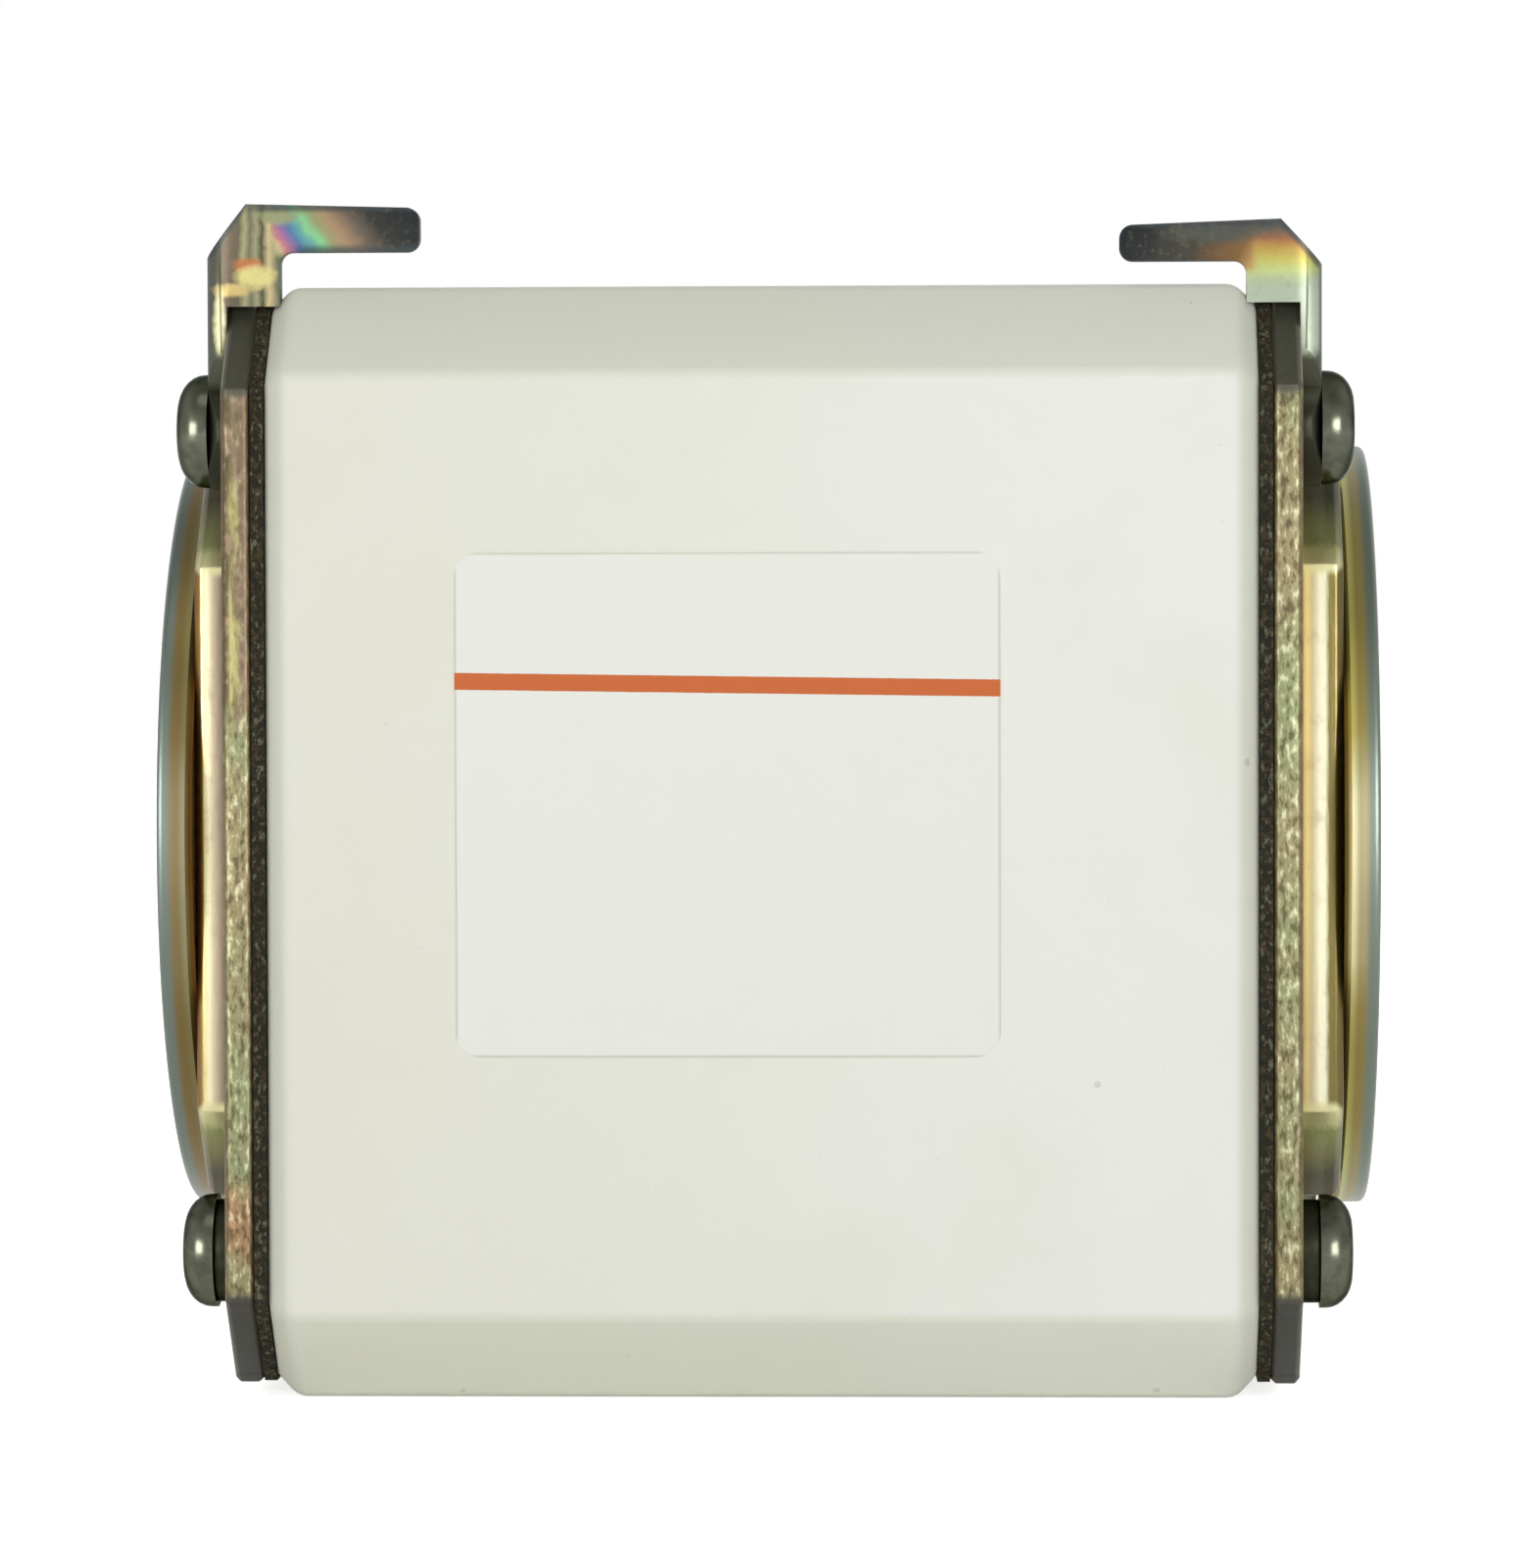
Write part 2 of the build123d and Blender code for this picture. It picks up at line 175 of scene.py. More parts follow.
class FuseColours(bpy.types.PropertyGroup):
    """Colours of the finishes."""

    ceramic: colour("Ceramic", (229, 230, 217), "Unglazed cream-white ceramic")
    ceramic_cool: colour("Ceramic cool", (235, 236, 230), "Cooler white towards the right end")
    ceramic_warm: colour("Ceramic warm", (224, 223, 206), "Faint warm clouds in the ceramic")
    # Painted shade on the corner cuts and end chamfers of the ceramic
    ceramic_facet_shade: colour("Ceramic dull", (225, 228, 206), "Corner cuts and ends of the ceramic")
    dirt: colour("Dirt", (120, 104, 78), "Fine specks of dirt")
    label: colour("Label", (232, 233, 225), "Film of the label")
    # A darker line along the label's edge
    label_outline: colour("Label edge", (182, 185, 160), "Yellowed edge of the label")
    stripe: colour("Stripe", (197, 98, 38), "Orange stripe across the label")
    gasket: colour("Gasket", (30, 29, 20), "Fibre gasket")
    gasket_pale: colour("Gasket pale", (108, 108, 86), "Pale fibres in the gasket")
    gold: colour("Gold", (196, 168, 106), "Yellow passivated steel")
    gold_pale: colour("Pale gold", (222, 212, 168), "Thin passivated layer")
    sheared: colour("Sheared edge", (130, 120, 88), "Sheared edge of the sheet")
    sheared_green: colour("Sheared green", (122, 128, 92), "Greener stretches of the sheared edge")
    streak: colour("Gold streak", (164, 158, 102), "Long golden streaks in the sheared edge")
    rose: colour("Rose", (136, 112, 94), "Rose tint in the passivated layer")
    leaf: colour("Leaf", (128, 146, 104), "Green tint in the passivated layer")
    rust: colour("Rust", (150, 96, 66), "Rusty stretch low on the left end plate")
    grain_pale: colour("Pale grain", (196, 194, 160), "Bright torn grain of a sheared edge")
    grain_dark: colour("Dark grain", (74, 66, 42), "Dark torn grain of a sheared edge")
    # Real brown of the gasket's fibres, and painted shade along the rims of the end plates' sheared edges
    umber_and_shade: colour("Umber", (96, 78, 50), "Brown rims and fibres")
    # Painted shade on the corner cuts of the sheet, darker below
    cut_shade: colour("Cut grey", (66, 67, 56), "Dull corner cuts of the sheet")
    cut_shade_low: colour("Cut dark", (48, 46, 42), "Darker corner cuts below")
    brass: colour("Brass", (218, 206, 158), "Burnished contact metal")
    brass_ring: colour("Brass ring", (176, 162, 112), "Darker turned rings of the contact face")
    brass_edge: colour("Brass edge", (100, 116, 112), "Grey-green turned edge of the contact")
    brass_brown: colour("Brass brown", (108, 86, 44), "Brown band of the contact's rim")
    # Makes the whole rim of the left contact darker
    left_rim_darker: colour("Tarnish", (92, 82, 60), "Darker rim of the left contact")
    # Painted shade in the groove where each contact meets its base
    groove_shade: colour("Groove", (96, 86, 48), "Groove behind the right contact")
    groove_shade_left: colour("Groove left", (122, 92, 46), "Groove behind the left contact")
    # Painted shade along the rounded rims of the lugs
    lug_rim_shade: colour("Lug rim", (52, 60, 62), "Dark rims of the lugs")
    lug_grain: colour("Lug grain", (122, 110, 80), "Grain in the layer on the lugs")
    lug_leg: colour("Lug leg", (150, 142, 96), "Side leg of a lug")
    lug_leg_dark: colour("Lug leg dark", (112, 108, 78), "Darker grain in the side leg of a lug")
    # Painted shadow of the screw head on the lug's leg, darkest at its lower end
    lug_head_shadow: colour("Lug dull", (68, 72, 60), "Dull stretch of a lug above its screw")
    lug_low_shadow: colour("Lug low", (36, 36, 24), "Dark lower end of a lug")
    head: colour("Screw", (95, 97, 84), "Dark steel of the screws")
    washer: colour("Washer", (52, 54, 44), "Dark steel of the washers")
    copper: colour("Copper", (206, 134, 98), "Element carriers")
    silver: colour("Silver", (224, 222, 214), "Fuse elements")
    silver_dark: colour("Dark silver", (170, 160, 140), "Rolled streaks in the fuse elements")
    sand: colour("Sand", (205, 192, 162), "Quartz sand")
    sand_dark: colour("Dark sand", (150, 132, 100), "Darker grains in the sand")


class FuseStage(bpy.types.PropertyGroup):
    """Camera and light."""

    camera_place: spot("Camera place", (0.01731, -0.4825, 0.05659), "Place of the camera")
    camera_aim: spot("Camera aim", (0.00031, -0.0375, 0.04169), "Point in the middle of the picture")
    camera_roll: bpy.props.FloatProperty(
        name="Camera roll", description="Turn of the camera about its line of sight",
        default=math.radians(-0.17), subtype="ANGLE")
    lens: bpy.props.FloatProperty(name="Lens", description="Focal length in millimetres", default=153.9)
    front_power: watts("Front light", 29.5, "Power of the large soft lamp beside the camera")
    top_power: watts("Top light", 0.8, "Power of the soft lamp overhead")
    back_power: watts("Back light", 16.0, "Power of each of the two soft lamps behind")
    spark_power: watts("Catch lights", 6.5, "Power of each of the two small lamps that show in the screws")
    ambient: bpy.props.FloatProperty(
        name="Ambient", description="Even light from all around", default=0.16, min=0, max=1,
        subtype="FACTOR")


class Channel:
    """A socket of a finish's nodes. Sums on it are written as plain expressions and become Math nodes."""

    def __init__(self, finish, socket):
        self.finish = finish
        self.socket = socket

    def maths(self, operation, *terms):
        return self.finish.node("ShaderNodeMath", {"operation": operation}, dict(enumerate(terms)))

    def __add__(self, other):
        return self.maths("ADD", self, other)

    def __sub__(self, other):
        return self.maths("SUBTRACT", self, other)

    def __rsub__(self, other):
        return self.maths("SUBTRACT", other, self)

    def __mul__(self, other):
        return self.maths("MULTIPLY", self, other)

    def __truediv__(self, other):
        return self.maths("DIVIDE", self, other)

    def __pow__(self, other):
        return self.maths("POWER", self, other)

    def __abs__(self):
        return self.maths("ABSOLUTE", self)

    def __lt__(self, other):
        return self.maths("LESS_THAN", self, other)

    def sine(self):
        return self.maths("SINE", self)

    def most(self, other):
        return self.maths("MAXIMUM", self, other)

    def ramp(self, low, high):
        """0 up to low, 1 from high on, smooth between; a high below low turns it round."""
        return self.finish.node("ShaderNodeMapRange", {"interpolation_type": "SMOOTHSTEP"}, {
            "Value": self, "From Min": low, "From Max": high, "To Min": 0.0, "To Max": 1.0})


class Nodes:
    """A tree of shader nodes in the making."""

    def __init__(self, tree):
        self.tree = tree
        self.tree.nodes.clear()

    def node(self, kind, settings, sockets, output=0):
        """Adds a node: its settings first, then values or links of its sockets. Gives one output."""
        made = self.tree.nodes.new(kind)
        for name, value in settings.items():
            if name == "stops":
                while len(made.color_ramp.elements) < len(value):
                    made.color_ramp.elements.new(1)
                for element, (position, tone) in zip(made.color_ramp.elements, value):
                    element.position = position
                    element.color = (*tone, 1)
            else:
                setattr(made, name, value)
        for name, value in sockets.items():
            if isinstance(value, Channel):
                self.tree.links.new(value.socket, made.inputs[name])
            elif made.inputs[name].type == "RGBA":
                made.inputs[name].default_value = (*value, 1)
            else:
                made.inputs[name].default_value = value
        return Channel(self, made.outputs[output]) if made.outputs else None

    def mix(self, factor, under, over):
        """The colour under, with the colour over laid on it by the factor."""
        return self.node("ShaderNodeMix", {"data_type": "RGBA"}, {0: factor, 6: under, 7: over}, 2)


class Finish(Nodes):
    """A material in the making. Its place is the object's own coordinates in millimetres."""

    def __init__(self, name):
        self.material = bpy.data.materials.new(name)
        self.material.use_nodes = True
        super().__init__(self.material.node_tree)
        self.place = self.node("ShaderNodeVectorMath", {"operation": "SCALE"},
                               {0: self.node("ShaderNodeTexCoord", {}, {}, "Object"), "Scale": 1 / MM})
        self.x, self.y, self.z = (self.node("ShaderNodeSeparateXYZ", {}, {0: self.place}, axis)
                                  for axis in ("X", "Y", "Z"))

    def above_axis(self):
        """Height above the contacts' axis in millimetres."""
        return self.z - MIDDLE / MM

    def from_axis(self):
        """Distance from the contacts' axis in millimetres."""
        height = self.above_axis()
        return (self.y * self.y + height * height) ** 0.5

    def left_end(self):
        """1 at the left end of the fuse, 0 at the right end."""
        return self.x.ramp(10.0, -10.0)

    def bands(self, value, tones):
        """Colours at their places along a value, blended from one to the next."""
        first, last = tones[0][0], tones[-1][0]
        stops = [((place - first) / (last - first), paint(*tone)) for place, tone in tones]
        return self.node("ShaderNodeValToRGB", {"stops": stops}, {"Fac": (value - first) / (last - first)})

    def noise(self, scale, detail=3.0, stretch=(1, 1, 1)):
        """A cloud pattern from 0 to 1 with so many spots per millimetre."""
        place = self.node("ShaderNodeVectorMath", {"operation": "MULTIPLY"}, {0: self.place, 1: stretch})
        return self.node("ShaderNodeTexNoise", {}, {
            "Vector": place, "Scale": scale, "Detail": detail, "Roughness": 0.6})

    def specks(self, spacing, radius, share):
        """1 on round specks of that radius, in a share of the cells of that spacing, in millimetres."""
        cells = {"Vector": self.place, "Scale": 1 / spacing}
        near = self.node("ShaderNodeTexVoronoi", {}, cells, "Distance")
        kind = self.node("ShaderNodeTexVoronoi", {}, cells, "Color")
        chance, wide = (self.node("ShaderNodeSeparateColor", {}, {0: kind}, part) for part in (0, 1))
        return (near < (wide * 0.7 + 0.3) * (radius / spacing)) * (chance < share)

    def bump(self, height, strength, distance=0.1):
        """A relief of that height in millimetres where the pattern goes from 0 to 1."""
        return self.node("ShaderNodeBump", {}, {
            "Height": height, "Strength": strength, "Distance": distance * MM})

    def surface(self, **sockets):
        """Ends the finish with one surface shader; names of its sockets are written with underscores."""
        shader = self.node("ShaderNodeBsdfPrincipled", {}, {
            name.replace("_", " "): value for name, value in sockets.items()})
        self.node("ShaderNodeOutputMaterial", {}, {"Surface": shader})
        return self.material


def choose(*pieces):
    """Selects just these objects; the first is the active one."""
    bpy.ops.object.select_all(action="DESELECT")
    for piece in pieces:
        piece.select_set(True)
    bpy.context.view_layer.objects.active = pieces[0]


def begin(piece, kind="FACE"):
    """Opens one piece in edit mode with nothing selected."""
    choose(piece)
    bpy.ops.object.mode_set(mode="EDIT")
    bpy.ops.mesh.select_mode(type=kind)
    bpy.ops.mesh.select_all(action="DESELECT")


def choose_faces(piece, test):
    """Selects just the faces whose middle and normal pass the test."""
    live = bmesh.from_edit_mesh(piece.data)
    chosen = [face for face in live.faces if test(face.calc_center_median(), face.normal)]
    bpy.ops.mesh.select_all(action="DESELECT")
    for face in chosen:
        face.select_set(True)
    if not chosen:
        raise RuntimeError(f"{piece.name}: no face where one was expected")
    bmesh.update_edit_mesh(piece.data)


def choose_edges(piece, sharpness, test):
    """Selects just the edges sharper than that angle in degrees whose two ends pass the test."""
    bpy.ops.mesh.select_all(action="DESELECT")
    bpy.ops.mesh.edges_select_sharp(sharpness=math.radians(sharpness))
    live = bmesh.from_edit_mesh(piece.data)
    for edge in live.edges:
        if edge.select and not all(test(corner.co) for corner in edge.verts):
            edge.select_set(False)
    live.select_flush(False)
    bmesh.update_edit_mesh(piece.data)


def leave(piece, smooth=35):
    """Closes edit mode and shades the piece smooth where its faces meet at a small angle."""
    bpy.ops.object.mode_set(mode="OBJECT")
    bpy.ops.object.shade_smooth_by_angle(angle=math.radians(smooth))


def copy_of(piece, name):
    """A copy of an object, with a mesh of its own."""
    twin = bpy.data.objects.new(name, piece.data.copy())
    bpy.context.scene.collection.objects.link(twin)
    return twin


def merged_copy(node):
    """A copy of a solid's mesh with whole flat faces instead of loose triangles."""
    piece = copy_of(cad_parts[node], f"{node}_finished")
    piece.data.materials.clear()
    begin(piece, "EDGE")
    bpy.ops.mesh.select_all(action="SELECT")
    bpy.ops.mesh.remove_doubles(threshold=0.002 * MM)
    bpy.ops.mesh.normals_make_consistent(inside=False)
    bpy.ops.mesh.dissolve_limited(angle_limit=math.radians(0.5))
    bpy.ops.mesh.select_all(action="DESELECT")
    return piece


def soften(piece, width, sharpness=30, test=lambda point: True, segments=2):
    """Rounds the sharp edges of the piece in edit mode that pass the test."""
    choose_edges(piece, sharpness, test)
    bpy.ops.mesh.bevel(offset=width, segments=segments, profile=0.5, affect="EDGES", clamp_overlap=True)


def fix_place(piece):
    """Moves the object's turn and place into its mesh."""
    choose(piece)
    bpy.ops.object.transform_apply(location=True, rotation=True, scale=True)


def join(name, pieces):
    """One object of several."""
    choose(*pieces)
    bpy.ops.object.join()
    pieces[0].name = name
    pieces[0].data.name = name
    return pieces[0]


def mirrored(piece, name):
    """The same piece at the other end, as in a mirror."""
    twin = copy_of(piece, name)
    twin.scale = (-1, 1, 1)
    fix_place(twin)
    begin(twin, "VERT")
    bpy.ops.mesh.select_all(action="SELECT")
    bpy.ops.mesh.normals_make_consistent(inside=False)
    bpy.ops.object.mode_set(mode="OBJECT")
    return twin


def coat(piece, material):
    """Gives a piece its material."""
    piece.data.materials.clear()
    piece.data.materials.append(material)


def hand_over(piece, material, node):
    """Coats a finished piece and puts it in the place of its solid."""
    coat(piece, material)
    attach(piece, "root")
    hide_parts(node)


def dress(node, material):
    """Coats a solid that is shown as it is."""
    coat(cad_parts[node], material)


def corner_facet(finish, half_width, corner_cut, blend):
    """1 on the slanted corner cuts of a square sheet or block around the contacts' axis."""
    reach = abs(finish.y) + abs(finish.above_axis())
    edge = (2 * half_width - corner_cut) / MM
    return reach.ramp(edge - blend, edge - blend / 4)


def ceramic_finish(colours):
    """Matt cream white: cooler to the right, painted shade on the corner cuts and at the ends, with fine
    specks.
    """
    finish = Finish("ceramic")
    clouds = finish.noise(0.05).ramp(0.45, 0.75)
    grain = finish.noise(2.5, 4.0)
    tone = finish.mix(finish.x.ramp(-25.0, 30.0), colours.ceramic, colours.ceramic_cool)
    tone = finish.mix(clouds * 0.4, tone, colours.ceramic_warm)
    # Painted shade on the corner cuts and the end chamfers
    end = BODY_HIGH.x / MM
    ends = abs(finish.x).ramp(end - 1.8, end - 1.3)
    facet = corner_facet(finish, BODY_HALF, BODY_CUT, 0.5).most(ends)
    tone = finish.mix(facet * 0.5, tone, colours.ceramic_facet_shade)
    large = finish.specks(spacing=5.2, radius=0.3, share=0.3)
    small = finish.specks(spacing=1.9, radius=0.1, share=0.25)
    tone = finish.mix((large * 0.24).most(small * 0.35), tone, colours.dirt)
    return finish.surface(Base_Color=tone, Roughness=grain * 0.12 + 0.56, Specular_IOR_Level=0.25,
                          Normal=finish.bump(grain, 0.25, 0.05))


def label_finish(colours, low, high):
    """Film with a darker line along its edge and an orange stripe that was printed a little askew."""
    finish = Finish("label_film")
    middle, half_width = (low.x + high.x) / 2 / MM, (high.x - low.x) / 2 / MM
    centre, half_height = (low.z + high.z) / 2 / MM, (high.z - low.z) / 2 / MM
    stripe_height, stripe_slope, stripe_half, blur = 48.3, -0.0144, 0.56, 0.06
    away = abs(finish.z - (finish.x - middle) * stripe_slope - stripe_height)
    wobble = finish.noise(1.6, 2.0) * 0.05
    stripe = (away + wobble).ramp(stripe_half + blur, stripe_half)
    past_edge = (abs(finish.x - middle) - half_width).most(abs(finish.z - centre) - half_height)
    stain = finish.noise(0.12, 4.0, (1, 1, 0.4)).ramp(0.55, 0.8) * past_edge.ramp(-6.0, 0.0)
    tone = finish.mix(stain * 0.35, colours.label, colours.ceramic_warm)
    # Darker line along the label's edge
    tone = finish.mix(past_edge.ramp(-0.22, -0.02) * 0.6, tone, colours.label_outline)
    tone = finish.mix(stripe, tone, colours.stripe)
    tone = finish.mix(finish.specks(spacing=6.0, radius=0.14, share=0.3) * 0.6, tone, colours.dirt)
    return finish.surface(Base_Color=tone, Roughness=finish.noise(1.2, 2.0) * 0.1 + 0.38,
                          Specular_IOR_Level=0.3)


def gasket_finish(colours):
    """Near-black fibre with brown and pale mottles."""
    finish = Finish("gasket_fibre")
    fibre = finish.noise(3.0, 4.0)
    pale = finish.noise(3.6, 2.0, (1, 1, 0.6)).ramp(0.54, 0.7)
    tone = finish.mix(fibre.ramp(0.45, 0.7) * 0.45, colours.gasket, colours.umber_and_shade)
    tone = finish.mix(pale * 0.75, tone, colours.gasket_pale)
    return finish.surface(Base_Color=tone, Roughness=0.9, Normal=finish.bump(fibre, 0.6),
                          Specular_IOR_Level=0.2)


def sheared_tone(finish, colours, grain, patch, tint):
    """Torn golden grain of the end plates' edges; on the left, upper half, bands from the gasket outwards;
    painted shade along both rims.
    """
    left = finish.left_end()
    high = left * finish.z.ramp(44.0, 48.0)
    depth = abs(finish.x) - PLATE_LOW.x / MM + grain * 0.4 - 0.2
    across = finish.bands(depth, (
        (0, (90, 78, 56)), (0.35, (112, 96, 76)), (0.75, (114, 98, 80)), (1.0, (122, 108, 84)),
        (1.35, (90, 80, 54)), (1.6, (60, 53, 34)), (2.0, (50, 44, 28))))
    tone = finish.mix(patch.ramp(0.35, 0.65), colours.sheared, colours.sheared_green)
    tone = finish.mix(high, tone, across)
    tone = finish.mix(tint.ramp(0.5, 0.64) * (high * 0.5 + 0.1), tone, colours.rose)
    middle = depth.ramp(0.6, 0.95) * depth.ramp(1.6, 1.3) * finish.z.ramp(64.0, 58.0)
    streak = finish.noise(0.55, 3.0, (1.6, 1, 0.25)).ramp(0.42, 0.58)
    tone = finish.mix(streak * high * middle * 0.9, tone, colours.streak)
    height = finish.z + tint * 4.0
    rust = left * height.ramp(11.5, 13.0) * height.ramp(17.5, 15.5)
    tone = finish.mix(rust * 0.5, tone, colours.rust)
    tone = finish.mix(grain.ramp(0.52, 0.68) * (0.75 - high * 0.5), tone, colours.grain_pale)
    tone = finish.mix(grain.ramp(0.5, 0.36) * (0.8 - high * 0.35), tone, colours.grain_dark)
    # Painted shade along the rims where the plate meets the gasket and the contact base
    from_middle = abs(abs(finish.x) - (PLATE_HIGH.x + PLATE_LOW.x) / 2 / MM)
    return finish.mix(from_middle.ramp(0.55, 0.85) * 0.7, tone, colours.umber_and_shade)


def plate_finish(colours):
    """Yellow passivated sheet with sheared edges, and painted shade on its corner cuts."""
    finish = Finish("plate_passivated")
    grain = finish.noise(1.8, 4.0, (1.4, 1, 0.6))
    fine = finish.noise(7.0, 2.0)
    patch = finish.noise(0.16, 2.0, (1, 1, 0.6))
    tint = finish.noise(0.5, 2.0)
    face = finish.mix(patch.ramp(0.35, 0.7), colours.gold, colours.gold_pale)
    face = finish.mix(tint.ramp(0.55, 0.75) * 0.4, face, colours.rose)
    face = finish.mix(tint.ramp(0.42, 0.24) * 0.4, face, colours.leaf)
    half = PLATE_HIGH.y / MM
    edge = abs(finish.y).most(abs(finish.above_axis())).ramp(half - 0.75, half - 0.45)
    tone = finish.mix(edge, face, sheared_tone(finish, colours, grain, patch, tint))
    # Painted shade on the corner cuts, darker towards the bottom
    cut = finish.mix(grain.ramp(0.45, 0.7) * 0.3, colours.cut_shade, colours.umber_and_shade)
    cut = finish.mix(finish.z.ramp(14.0, 6.0) * 0.7, cut, colours.cut_shade_low)
    facet = corner_facet(finish, PLATE_HIGH.y, PLATE_CUT, 0.9)
    relief = finish.bump((grain + fine * 0.4) * (edge * 0.8 + 0.2), 0.5)
    return finish.surface(Base_Color=finish.mix(facet, tone, cut), Metallic=0.75 - facet * 0.3,
                          Roughness=grain * 0.2 + 0.36, Normal=relief)


def base_finish(colours):
    """Punched contact block: torn band beside the plate, burnished band; painted shadow lines where it meets
    the plate and the disc, and painted shade on its corner cuts.
    """
    finish = Finish("contact_block")
    grain = finish.noise(1.6, 4.0, (2.4, 1, 0.35))
    start, end = BASE_LOW.x / MM, BASE_HIGH.x / MM
    across = abs(finish.x) + grain * 0.3 - 0.15
    # The darkest stops at both ends are painted shadow lines, beside the plate and beside the disc
    right = finish.bands(across, (
        (start, (78, 64, 38)), (start + 0.25, (146, 126, 80)), (start + 0.7, (203, 190, 142)),
        (start + 1.1, (180, 172, 142)), (start + 1.6, (221, 219, 194)), (end - 1.3, (216, 213, 184)),
        (end - 1.0, (116, 106, 60)), (end, (88, 78, 42))))
    left = finish.bands(across, (
        (start, (78, 64, 38)), (start + 1.3, (118, 106, 88)), (start + 1.6, (150, 136, 118)),
        (start + 2.0, (184, 172, 144)), (start + 2.3, (214, 208, 170)), (end - 0.65, (210, 200, 146)),
        (end - 0.35, (140, 104, 50)), (end, (96, 70, 34))))
    tone = finish.mix(finish.left_end(), right, left)
    tone = finish.mix(finish.noise(0.7, 3.0).ramp(0.52, 0.75) * 0.3, tone, colours.rose)
    # Painted shade on the corner cuts, fading from the bright band to dark
    cut_end = BASE_CUT / MM
    over_cut = abs(finish.above_axis()) - abs(finish.y) + grain * 2.0 - 1.0
    cut = finish.bands(over_cut, (
        (-cut_end, (196, 194, 146)), (-4.6, (176, 176, 126)), (-3.4, (122, 128, 80)), (0, (96, 98, 62)),
        (3.0, (52, 52, 34)), (cut_end, (60, 58, 38))))
    facet = corner_facet(finish, BASE_HIGH.y, BASE_CUT, 0.9)
    return finish.surface(Base_Color=finish.mix(facet * 0.95, tone, cut), Metallic=0.85 - facet * 0.2,
                          Roughness=grain * 0.12 + 0.26, Normal=finish.bump(grain, 0.2, 0.08))


def disc_finish(colours):
    """Turned contact: rings on its face; its rim has a painted highlight in the middle and painted shade
    above and below.
    """
    finish = Finish("contact_turned")
    radius, across, left = finish.from_axis(), abs(finish.x), finish.left_end()
    back, front, outside = BASE_HIGH.x / MM, DISC_HIGH.x / MM, DISC_HIGH.y / MM
    cloud = finish.noise(0.12, 3.0)
    # Painted highlight across the middle of the rim, painted shade above and below it
    wavy_height = finish.above_axis() + finish.noise(0.2, 2.0, (3, 1, 1)) * 4.0 - 2.0
    rim_sheen_and_tone = finish.bands(wavy_height, (
        (-27, (156, 160, 120)), (-23, (164, 168, 106)), (-19, (156, 148, 82)), (-12, (160, 152, 88)),
        (-8, (202, 196, 152)), (3, (212, 208, 168)), (7, (176, 168, 96)), (14, (186, 176, 98)),
        (21, (194, 188, 114)), (26, (196, 194, 146))))
    # Darker all over on the left contact's rim
    rim_sheen_and_tone = finish.mix(left * 0.74, rim_sheen_and_tone, colours.left_rim_darker)
    rim_sheen_and_tone = finish.mix(across.ramp(front - 1.9, front - 1.4) * 0.6, rim_sheen_and_tone, colours.brass_brown)
    rim_sheen_and_tone = finish.mix(across.ramp(front - 1.15, front - 0.6) * 0.85, rim_sheen_and_tone, colours.brass_edge)
    cuts = finish.node("ShaderNodeTexNoise", {"noise_dimensions": "1D"}, {
        "W": radius, "Scale": 1.1, "Detail": 5.0})
    face = finish.mix(cloud.ramp(0.4, 0.75) * 0.3, colours.brass, colours.gold_pale)
    face = finish.mix(cuts.ramp(0.42, 0.66) * 0.4, face, colours.brass_ring)
    rim = radius.ramp(outside - 0.6, outside - 0.35)
    # Painted shade in the groove where the contact meets the contact base
    groove_shade = finish.mix(left, colours.groove_shade, colours.groove_shade_left)
    tone = finish.mix(across.ramp(back + 0.35, back + 0.15) * 0.9, finish.mix(rim, face, rim_sheen_and_tone), groove_shade)
    turned = (radius * 18.0).sine() * 0.5 + 0.5
    relief = finish.bump(turned + finish.noise(1.5, 3.0) * 0.4, 0.2, 0.02)
    return finish.surface(Base_Color=tone, Metallic=0.8, Roughness=cloud * 0.12 + rim * 0.08 + 0.22,
                          Normal=relief)


def steel_finish(name, tone, rough):
    """Dark smooth steel with faint handling marks, which stays dark where it is seen at a slant."""
    finish = Finish(name)
    cloud = finish.noise(0.8, 4.0)
    darker = tuple(part * 0.6 for part in tone)
    return finish.surface(Base_Color=finish.mix(cloud.ramp(0.35, 0.75), tone, darker), Metallic=1.0,
                          Specular_Tint=(0.32, 0.34, 0.34), Roughness=cloud * 0.12 + rough,
                          Normal=finish.bump(cloud, 0.1, 0.05))


